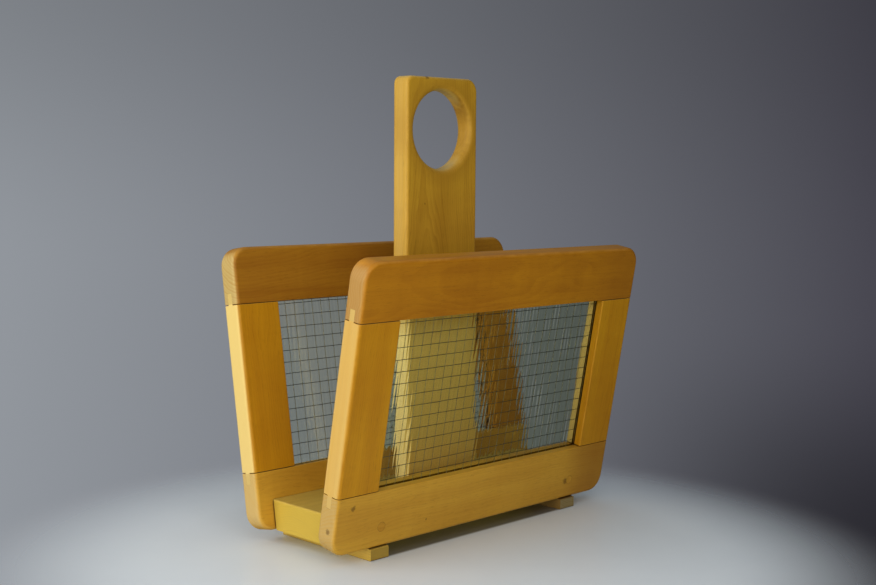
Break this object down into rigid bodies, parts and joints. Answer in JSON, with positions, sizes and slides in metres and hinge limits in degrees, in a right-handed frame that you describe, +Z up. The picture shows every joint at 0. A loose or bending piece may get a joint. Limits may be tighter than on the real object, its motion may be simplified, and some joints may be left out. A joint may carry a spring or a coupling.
{
  "type": "magazine rack",
  "caption": "Wooden magazine rack with splayed frames glazed in wired glass, a base board on cross battens and an upright handle board with a round hand hole.",
  "frame": {"origin": "on the floor, under the middle of the two side frames", "axes": "+X along the side frames, +Y from the front frame to the rear frame, +Z up"},
  "size_m": [0.434, 0.2334, 0.4961],
  "materials": {
    "rail_wood": "aged satin varnish",
    "stile_wood": "aged satin varnish",
    "board_wood": "aged satin varnish",
    "foot_wood": "aged satin varnish",
    "plug_wood": "aged satin varnish",
    "wired_glass": "rippled cast glass, faint green tint",
    "mesh_wire": "dull drawn wire",
    "screw_steel": "plain wood screws"
  },
  "bodies": {
    "root": {"front_top_rail": "rail_wood", "front_bottom_rail": "rail_wood", "front_left_stile": "stile_wood", "front_right_stile": "stile_wood", "front_wired_glass": "wired_glass", "front_wire_mesh": "mesh_wire", "front_frame_screws": "screw_steel", "front_screw_plugs": "plug_wood", "rear_top_rail": "rail_wood", "rear_bottom_rail": "rail_wood", "rear_left_stile": "stile_wood", "rear_right_stile": "stile_wood", "rear_wired_glass": "wired_glass", "rear_wire_mesh": "mesh_wire", "rear_frame_screws": "screw_steel", "rear_screw_plugs": "plug_wood", "base_board": "board_wood", "handle_board": "board_wood", "handle_screws": "screw_steel", "left_foot": "foot_wood", "right_foot": "foot_wood", "foot_screws": "screw_steel"}
  },
  "joints": []
}
